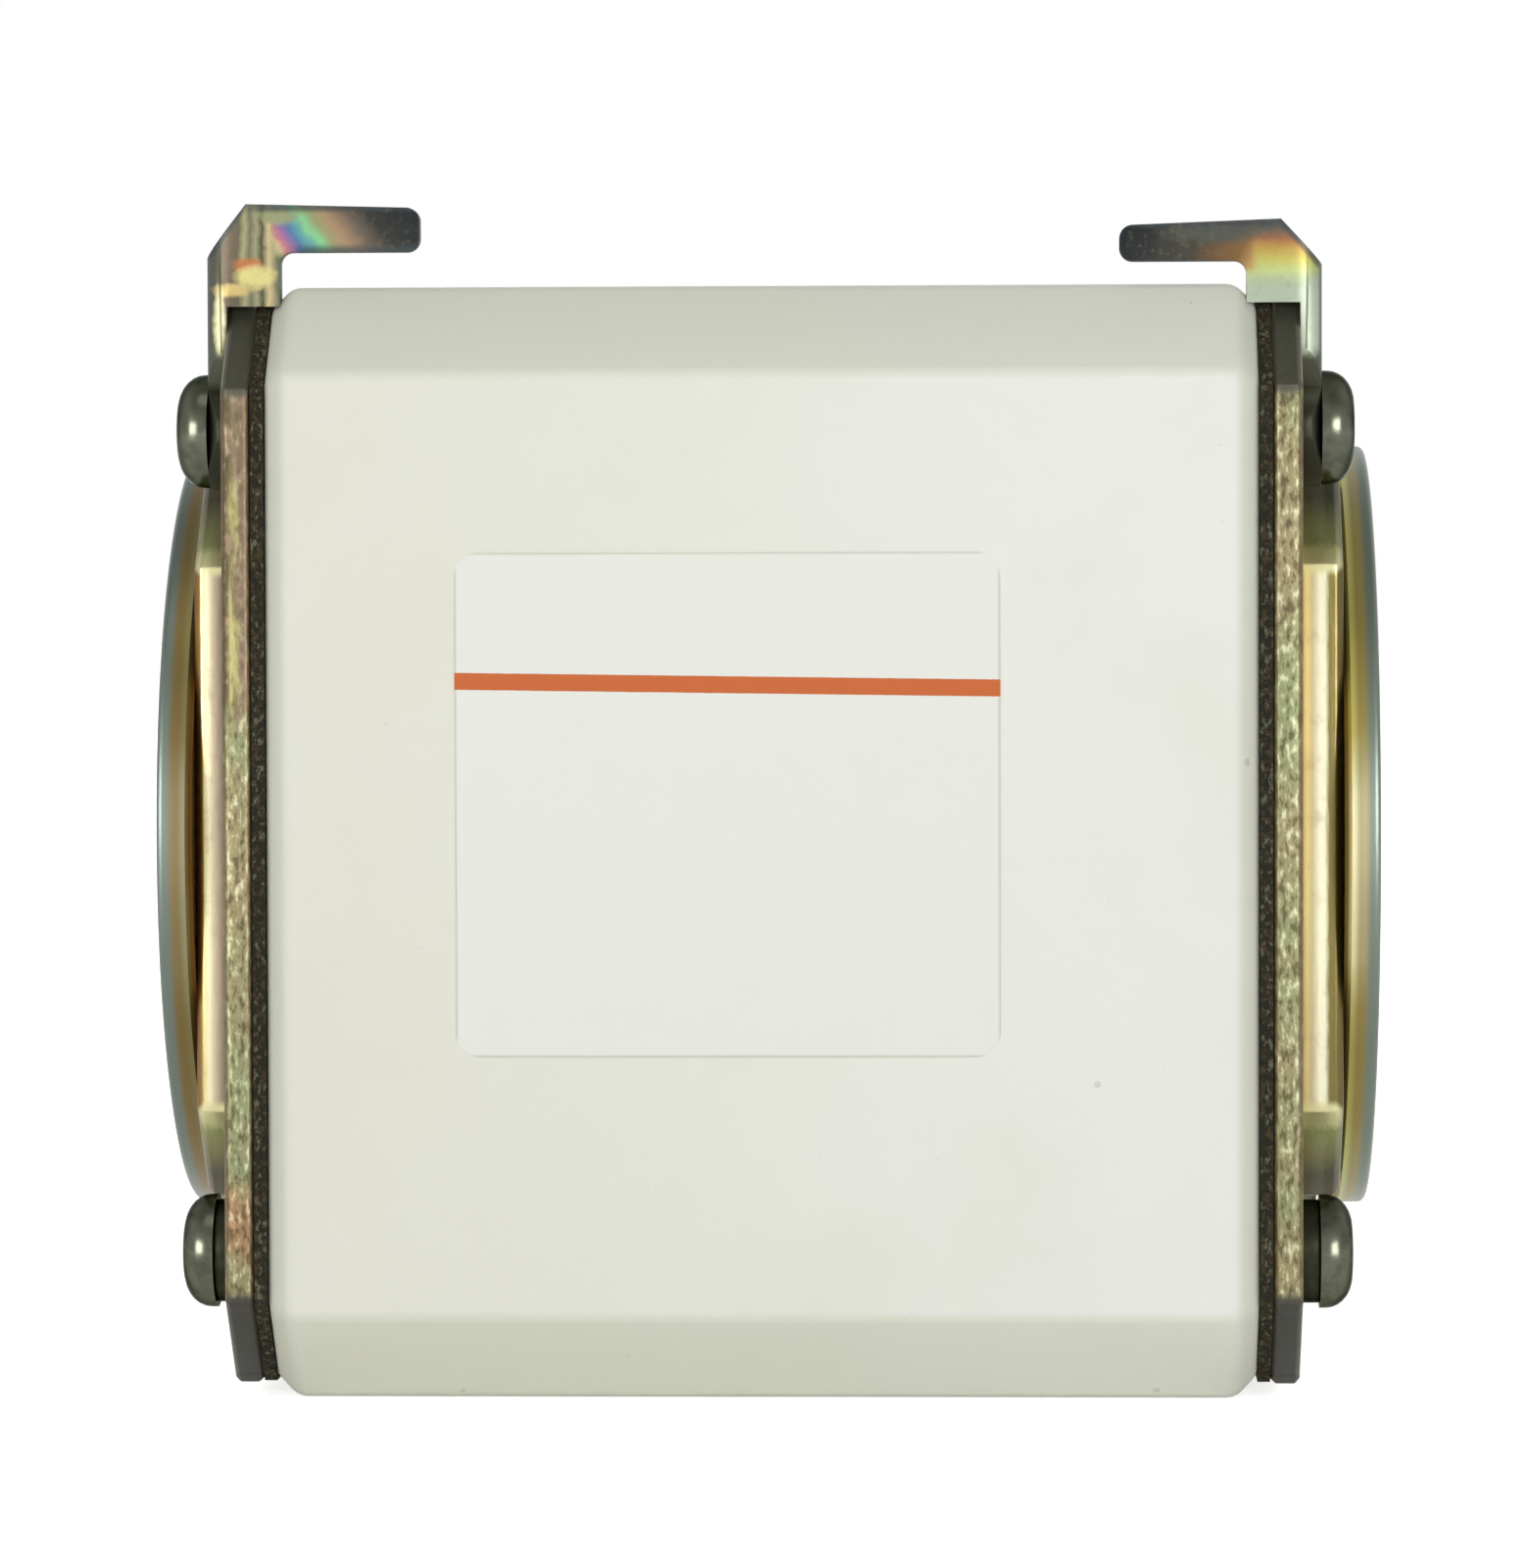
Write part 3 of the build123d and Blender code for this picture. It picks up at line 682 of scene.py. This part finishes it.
def lug_finish(name, colours, outer, inward, top, cut, slant, shadow_from, root_by, root_tones_and_sheen, arm_tones,
               patches_and_painted_light):
    """Passivated sheet: rainbow colours run along its arm, and over its root along or down from the corner;
    painted highlights lie on its bend and lower edge, painted shade along its rims, and painted shadow of the
    screw head on its leg."""
    finish = Finish(name)
    wobble = finish.noise(0.8, 4.0) * 1.2 - 0.6
    along = (finish.x - outer / MM) * inward
    down = top / MM - finish.z
    # On the left lug the root's bands hold painted reflections of its bend
    root = finish.bands((along if root_by == "along" else down) + wobble * 0.5, root_tones_and_sheen)
    arm = finish.bands(along + (2.0 - down) * slant + wobble, arm_tones)
    tone = finish.mix(along.ramp(4.2, 5.0) * down.ramp(3.8, 3.1), root, arm)
    torn = finish.noise(1.3, 2.0) * 1.4 - 0.7
    # Some patches are painted highlights and painted shade
    for (centre_along, centre_down), (half_along, half_down), patch_tone in patches_and_painted_light:
        across, up = (along - centre_along) / half_along, (down - centre_down) / half_down
        spread = across * across + up * up + wobble * 0.8 + torn
        tone = finish.mix(spread.ramp(1.7, 0.1), tone, paint(*patch_tone))
    # Painted shade along the rounded rims of the arm, its outer end and its corner cut
    top_rim = down.ramp(0.7, 0.3) * along.ramp(2.0, 4.0)
    low_rim = down.ramp(2.55, 3.15) * down.ramp(3.9, 3.4) * along.ramp(5.4, 7.0)
    outer_rim = along.ramp(0.35, 0.1)
    cut_rim = (along / cut[0] + down / cut[1]).ramp(1.24, 1.08)
    tone = finish.mix(top_rim.most(low_rim).most(outer_rim).most(cut_rim) * 0.8, tone, colours.lug_rim_shade)
    grain = finish.noise(2.2, 4.0)
    tone = finish.mix(grain.ramp(0.5, 0.8) * 0.3, tone, colours.lug_grain)
    front = LUG_RIGHT_LOW.y / MM
    leg_tone = finish.mix(grain.ramp(0.35, 0.65), colours.lug_leg, colours.lug_leg_dark)
    tone = finish.mix(finish.y.ramp(front + 1.7, front + 2.6) * 0.75, tone, leg_tone)
    # Painted shadow of the screw head over the leg, darkest at its lower end
    tone = finish.mix((down + wobble).ramp(shadow_from, shadow_from + 0.9), tone, colours.lug_head_shadow)
    tone = finish.mix(down.ramp(11.8, 12.7), tone, colours.lug_low_shadow)
    return finish.surface(Base_Color=tone, Metallic=0.7, Roughness=grain * 0.15 + 0.4,
                          Normal=finish.bump(grain, 0.15, 0.06))


def turn(*points):
    """Carries the selected round face through (radius, height) points, as on a lathe."""
    for (radius, height), (next_radius, next_height) in zip(points, points[1:]):
        bpy.ops.mesh.inset(thickness=radius - next_radius, depth=next_height - height)


def rounded(radius, height, width, rise, steps):
    """Points of a quarter round that ends at that radius and height."""
    turns = [math.pi / 2 * step / steps for step in range(steps + 1)]
    return [(radius + width * math.cos(angle), height - rise + rise * math.sin(angle)) for angle in turns]


def add_round_bar(name, segments, radius, start, end, height):
    """A round bar along the fuse's long axis, open for editing."""
    bpy.ops.mesh.primitive_cylinder_add(vertices=segments, radius=radius, depth=end - start,
                                        location=((start + end) / 2, 0, height), rotation=(0, math.pi / 2, 0))
    piece = bpy.context.object
    piece.name = name
    fix_place(piece)
    begin(piece)
    return piece


def model_thread(sizes, face):
    """The three-sided ridge of the thread, from the bottom of the tapped hole to near its mouth."""
    reach = sizes.thread_height / 1.5
    bite, free_end, steps = 0.03 * MM, 1.5 * MM, 48
    bpy.ops.mesh.primitive_circle_add(vertices=3, radius=reach, rotation=(-math.pi / 2, 0, 0),
                                      location=(0, 0, sizes.thread_major + bite - reach / 2))
    ridge = bpy.context.object
    fix_place(ridge)
    winding = ridge.modifiers.new("winding", "SCREW")
    winding.axis = "X"
    winding.screw_offset = sizes.thread_pitch
    winding.iterations = int((sizes.thread_depth - free_end) / sizes.thread_pitch)
    winding.steps = winding.render_steps = steps
    bpy.ops.object.modifier_apply(modifier=winding.name)
    begin(ridge, "EDGE")
    bpy.ops.mesh.select_all(action="SELECT")
    bpy.ops.mesh.fill_holes(sides=3)
    bpy.ops.mesh.normals_make_consistent(inside=False)
    bpy.ops.object.mode_set(mode="OBJECT")
    ridge.location = (face - sizes.thread_depth + reach, 0, MIDDLE)
    fix_place(ridge)
    return ridge


def model_contact(sizes):
    """Turned contact with its rounded rim, its spigot and its tapped hole."""
    radius = (DISC_HIGH.z - DISC_LOW.z) / 2
    face, back, rim = DISC_HIGH.x, BASE_HIGH.x, sizes.disc_rim
    mouth, thread = sizes.thread_major + sizes.thread_mouth, sizes.thread_major
    contact = add_round_bar("contact", sizes.disc_segments, radius, back + rim, face - rim, MIDDLE)
    choose_faces(contact, lambda middle, normal: normal.x > FACING)
    turn(*rounded(radius - rim, face, rim, rim, 4), (mouth, face), (thread, face - sizes.thread_mouth),
         (thread, face - sizes.thread_depth))
    choose_faces(contact, lambda middle, normal: normal.x < -FACING)
    turn((radius, rim), (radius - rim, 2 * rim), (sizes.spigot_radius, 2 * rim),
         (sizes.spigot_radius, 2 * rim + back - DISC_LOW.x))
    leave(contact)
    return join("contact", [contact, model_thread(sizes, face)])


def model_screw(sizes):
    """Domed screw with a hexagon socket, its head resting on the plane x = 0."""
    screw = add_round_bar("screw", sizes.screw_segments, sizes.head_radius, 0, sizes.head_rim, 0)
    choose_faces(screw, lambda middle, normal: normal.x > FACING)
    flat = sizes.socket_width / 2
    corner = flat / math.cos(math.pi / 6)
    dome = rounded(sizes.head_top, sizes.head_height, sizes.head_radius - sizes.head_top,
                   sizes.head_height - sizes.head_rim, 7)
    turn(*dome, (corner, sizes.head_height))
    live = bmesh.from_edit_mesh(screw.data)
    for face in [face for face in live.faces if face.select]:
        for point in face.verts:
            angle = math.atan2(point.co.z, point.co.y) % (math.pi / 3) - math.pi / 6
            share = flat / math.cos(angle) / math.hypot(point.co.y, point.co.z)
            point.co = (point.co.x, point.co.y * share, point.co.z * share)
    bmesh.update_edit_mesh(screw.data)
    turn((flat, 0), (flat, -sizes.socket_depth))
    choose_faces(screw, lambda middle, normal: normal.x < -FACING and middle.x < sizes.head_rim / 2)
    shank = SCREW_HIGH.x - sizes.head_height - SCREW_LOW.x
    turn((sizes.head_radius, 0), (sizes.shank_radius, 0), (sizes.shank_radius, shank))
    leave(screw)
    return screw


class FUSE_OT_ceramic_body(bpy.types.Operator):
    """Square ceramic tube with softened edges"""

    bl_idname = "fuse.ceramic_body"
    bl_label = "Ceramic body"

    def execute(self, context):
        sizes, colours = context.scene.fuse_sizes, context.scene.fuse_colours
        body = merged_copy("ceramic_body")

        def outside(point):
            return max(abs(point.y), abs(point.z - MIDDLE)) > BODY_HALF - BODY_SKIN

        soften(body, sizes.ceramic_edge, test=outside, segments=4)
        leave(body, 40)
        hand_over(body, ceramic_finish(colours), "ceramic_body")
        return {"FINISHED"}


class FUSE_OT_label(bpy.types.Operator):
    """Film label with an orange stripe"""

    bl_idname = "fuse.label"
    bl_label = "Label"

    def execute(self, context):
        dress("label", label_finish(context.scene.fuse_colours, *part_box("label")))
        return {"FINISHED"}


class FUSE_OT_gaskets(bpy.types.Operator):
    """Dark gasket between the body and each end plate"""

    bl_idname = "fuse.gaskets"
    bl_label = "Gaskets"

    def execute(self, context):
        fibre = gasket_finish(context.scene.fuse_colours)
        for side in SIDES:
            dress(f"gasket_{side}", fibre)
        return {"FINISHED"}


class FUSE_OT_end_plates(bpy.types.Operator):
    """Punched end plates and the contact bases in front of them"""

    bl_idname = "fuse.end_plates"
    bl_label = "End plates and contact bases"

    def execute(self, context):
        sizes, colours = context.scene.fuse_sizes, context.scene.fuse_colours
        for node, material, slot in (("end_plate", plate_finish(colours), "passivated_steel"),
                                     ("contact_base", base_finish(colours), "contact_brass")):
            for side in SIDES:
                piece = merged_copy(f"{node}_{side}")
                soften(piece, sizes.plate_edge)
                leave(piece)
                hand_over(piece, material, f"{node}_{side}")
        return {"FINISHED"}


class FUSE_OT_contact_discs(bpy.types.Operator):
    """Turned contacts with a tapped hole, one at each end"""

    bl_idname = "fuse.contact_discs"
    bl_label = "Contact discs"

    def execute(self, context):
        right = model_contact(context.scene.fuse_sizes)
        right.name = "contact_disc_right_finished"
        left = copy_of(right, "contact_disc_left_finished")
        left.rotation_euler = (0, 0, math.pi)
        fix_place(left)
        brass = disc_finish(context.scene.fuse_colours)
        hand_over(right, brass, "contact_disc_right")
        hand_over(left, brass, "contact_disc_left")
        return {"FINISHED"}


class FUSE_OT_end_screws(bpy.types.Operator):
    """Domed socket screws, four at each end; the upper front one holds the lug"""

    bl_idname = "fuse.end_screws"
    bl_label = "End screws"

    def execute(self, context):
        sizes, colours = context.scene.fuse_sizes, context.scene.fuse_colours
        pattern = model_screw(sizes)
        corner = SCREW_HIGH.y - sizes.head_radius
        washer_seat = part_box("lock_washers_right")[1].x
        lug_seat = SCREW_HIGH.x - sizes.head_height
        screws = []
        for across, up, seat, degrees in ((-1, 1, lug_seat, 11), (1, 1, washer_seat, 48),
                                          (1, -1, washer_seat, 85), (-1, -1, washer_seat, 122)):
            screw = copy_of(pattern, "screw")
            screw.location = (seat, across * corner, MIDDLE + up * corner)
            screw.rotation_euler = (math.radians(degrees), 0, 0)
            fix_place(screw)
            screws.append(screw)
        bpy.data.objects.remove(pattern)
        right = join("end_screws_right_finished", screws)
        left = mirrored(right, "end_screws_left_finished")
        steel = steel_finish("screw_steel", colours.head, 0.18)
        hand_over(right, steel, "end_screws_right")
        hand_over(left, steel, "end_screws_left")
        return {"FINISHED"}


class FUSE_OT_lock_washers(bpy.types.Operator):
    """Split lock washers under the screws that hold no lug"""

    bl_idname = "fuse.lock_washers"
    bl_label = "Lock washers"

    def execute(self, context):
        sizes, colours = context.scene.fuse_sizes, context.scene.fuse_colours
        steel = steel_finish("washer_steel", colours.washer, 0.35)
        for side in SIDES:
            washers = merged_copy(f"lock_washers_{side}")
            soften(washers, sizes.washer_edge, sharpness=50)
            leave(washers)
            hand_over(washers, steel, f"lock_washers_{side}")
        return {"FINISHED"}


class FUSE_OT_switch_lugs(bpy.types.Operator):
    """Hooked sheet lugs that carry a microswitch"""

    bl_idname = "fuse.switch_lugs"
    bl_label = "Switch lugs"

    def execute(self, context):
        sizes, colours = context.scene.fuse_sizes, context.scene.fuse_colours
        near = 0.1 * MM

        def on_lip(point):
            return abs(point.z - PLATE_HIGH.z) < near and point.y < LUG_RIGHT_LOW.y + near

        for side in SIDES:
            lug = merged_copy(f"switch_lug_{side}")
            choose_edges(lug, 40, on_lip)
            bpy.ops.transform.translate(value=(0, 0, -sizes.lug_lip))
            soften(lug, sizes.lug_edge, sharpness=40, segments=3)
            leave(lug, 40)
            sheet = lug_finish(f"lug_{side}_passivated", colours, **LUG_LOOKS[side])
            hand_over(lug, sheet, f"switch_lug_{side}")
        return {"FINISHED"}


def sand_finish(colours):
    """Rough pale grains."""
    finish = Finish("quartz_sand")
    grains = finish.noise(3.0, 5.0)
    tone = finish.mix(grains.ramp(0.35, 0.7), colours.sand, colours.sand_dark)
    return finish.surface(Base_Color=tone, Roughness=0.95, Normal=finish.bump(grains, 0.8, 0.2))


def copper_finish(colours):
    """Plain copper with darker smears."""
    finish = Finish("carrier_copper")
    smear = finish.noise(0.6, 4.0, (1, 1, 0.3))
    darker = tuple(part * 0.7 for part in colours.copper)
    tone = finish.mix(smear.ramp(0.4, 0.75), colours.copper, darker)
    return finish.surface(Base_Color=tone, Metallic=0.9, Roughness=smear * 0.2 + 0.3)


def silver_finish(colours):
    """Soft silver sheet with streaks from rolling."""
    finish = Finish("element_silver")
    rolled = finish.noise(1.5, 3.0, (0.1, 1, 1))
    tone = finish.mix(rolled.ramp(0.4, 0.8) * 0.3, colours.silver, colours.silver_dark)
    return finish.surface(Base_Color=tone, Metallic=0.95, Roughness=rolled * 0.2 + 0.25)


class FUSE_OT_inside(bpy.types.Operator):
    """Sand, element carriers and fuse elements inside the body"""

    bl_idname = "fuse.inside"
    bl_label = "Inside"

    def execute(self, context):
        colours = context.scene.fuse_colours
        dress("sand_filling", sand_finish(colours))
        copper = copper_finish(colours)
        for side in SIDES:
            dress(f"element_carrier_{side}", copper)
        silver = silver_finish(colours)
        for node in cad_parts:
            if node.startswith("fuse_element"):
                dress(node, silver)
        return {"FINISHED"}


def white_seen(nodes):
    """1 for what the camera, a mirror or glass sees, 0 for what lights the fuse."""
    camera, mirror, glass = (nodes.node("ShaderNodeLightPath", {}, {}, f"Is {ray} Ray")
                             for ray in ("Camera", "Glossy", "Transmission"))
    return camera.most(mirror).most(glass)


def studio_world(scene, ambient):
    """White all round near the horizon, greyer overhead; its light on the fuse is even."""
    scene.world = bpy.data.worlds.new("studio")
    scene.world.use_nodes = True
    nodes = Nodes(scene.world.node_tree)
    ray = nodes.node("ShaderNodeTexCoord", {}, {}, "Generated")
    up = nodes.node("ShaderNodeSeparateXYZ", {}, {0: ray}, "Z")
    sky = nodes.mix(up.ramp(0.45, 0.95), (1, 1, 1), (0.5, 0.5, 0.48))
    tone = nodes.mix(white_seen(nodes), (ambient, ambient, ambient), sky)
    light = nodes.node("ShaderNodeBackground", {}, {"Color": tone, "Strength": 1.0})
    nodes.node("ShaderNodeOutputWorld", {}, {"Surface": light})


def floor_finish():
    """Pale floor that looks white to the camera and keeps the fuse's shadow."""
    finish = Finish("studio_floor")
    away = (finish.x * finish.x + finish.y * finish.y) ** 0.5
    glow = away.ramp(90.0, 400.0) * 0.25 + 0.75
    tone = finish.mix(white_seen(finish) * glow, (0, 0, 0), (1, 1, 1))
    return finish.surface(Base_Color=(0.8, 0.8, 0.8), Roughness=0.9, Emission_Color=tone,
                          Emission_Strength=1.0)


def add_lamp(name, place, size, power, in_mirrors, on_matt):
    """Square soft lamp turned to the fuse, which shows in mirrors, lights matt surfaces, or both."""
    bpy.ops.object.light_add(type="AREA", location=place)
    lamp = bpy.context.object
    lamp.name = name
    lamp.rotation_euler = (Vector((0, 0, MIDDLE)) - Vector(place)).to_track_quat("-Z", "Y").to_euler()
    lamp.data.size = size
    lamp.data.energy = power
    lamp.visible_glossy = in_mirrors
    lamp.visible_diffuse = on_matt
    return lamp


class FUSE_OT_stage(bpy.types.Operator):
    """Floor, light and camera"""

    bl_idname = "fuse.stage"
    bl_label = "Stage"

    def execute(self, context):
        stage = context.scene.fuse_stage
        bpy.ops.mesh.primitive_plane_add(size=8, location=(0, 0, BODY_LOW.z - FLOOR_GAP))
        floor = context.object
        floor.name = "floor"
        floor.data.materials.append(floor_finish())
        lamps = [add_lamp(name, place, size, getattr(stage, power), in_mirrors, on_matt)
                 for name, place, size, power, in_mirrors, on_matt in LAMPS]
        studio_world(context.scene, stage.ambient)
        bpy.ops.object.camera_add(location=stage.camera_place)
        camera = context.object
        camera.name = "camera"
        look = Vector(stage.camera_aim) - Vector(stage.camera_place)
        roll = Quaternion((0, 0, 1), stage.camera_roll)
        camera.rotation_euler = (look.to_track_quat("-Z", "Y") @ roll).to_euler()
        camera.data.lens = stage.lens
        camera.data.sensor_width = 36
        context.scene.camera = camera
        context.scene.view_settings.view_transform = "Standard"
        return {"FINISHED"}


PIECES = (FUSE_OT_ceramic_body, FUSE_OT_label, FUSE_OT_gaskets, FUSE_OT_end_plates, FUSE_OT_contact_discs,
          FUSE_OT_end_screws, FUSE_OT_lock_washers, FUSE_OT_switch_lugs, FUSE_OT_inside, FUSE_OT_stage)


class FUSE_PT_panel(bpy.types.Panel):
    """Lists the pieces of the fuse and the sizes and colours they take"""

    bl_idname = "FUSE_PT_panel"
    bl_label = "Square-body fuse"
    bl_space_type = "VIEW_3D"
    bl_region_type = "UI"
    bl_category = "Fuse"

    def draw(self, context):
        for piece in PIECES:
            self.layout.operator(piece.bl_idname)
        for group in (context.scene.fuse_sizes, context.scene.fuse_colours, context.scene.fuse_stage):
            box = self.layout.box()
            for name in group.__annotations__:
                box.prop(group, name)


GROUPS = (("fuse_sizes", FuseSizes), ("fuse_colours", FuseColours), ("fuse_stage", FuseStage))


def register():
    for name, group in GROUPS:
        bpy.utils.register_class(group)
        setattr(bpy.types.Scene, name, bpy.props.PointerProperty(type=group))
    for cls in (*PIECES, FUSE_PT_panel):
        bpy.utils.register_class(cls)


def unregister():
    for cls in (FUSE_PT_panel, *reversed(PIECES)):
        bpy.utils.unregister_class(cls)
    for name, group in reversed(GROUPS):
        delattr(bpy.types.Scene, name)
        bpy.utils.unregister_class(group)


def main():
    register()
    bpy.ops.fuse.ceramic_body()
    bpy.ops.fuse.label()
    bpy.ops.fuse.gaskets()
    bpy.ops.fuse.end_plates()
    bpy.ops.fuse.contact_discs()
    bpy.ops.fuse.end_screws()
    bpy.ops.fuse.lock_washers()
    bpy.ops.fuse.switch_lugs()
    bpy.ops.fuse.inside()
    bpy.ops.fuse.stage()


if __name__ == "__main__":
    main()
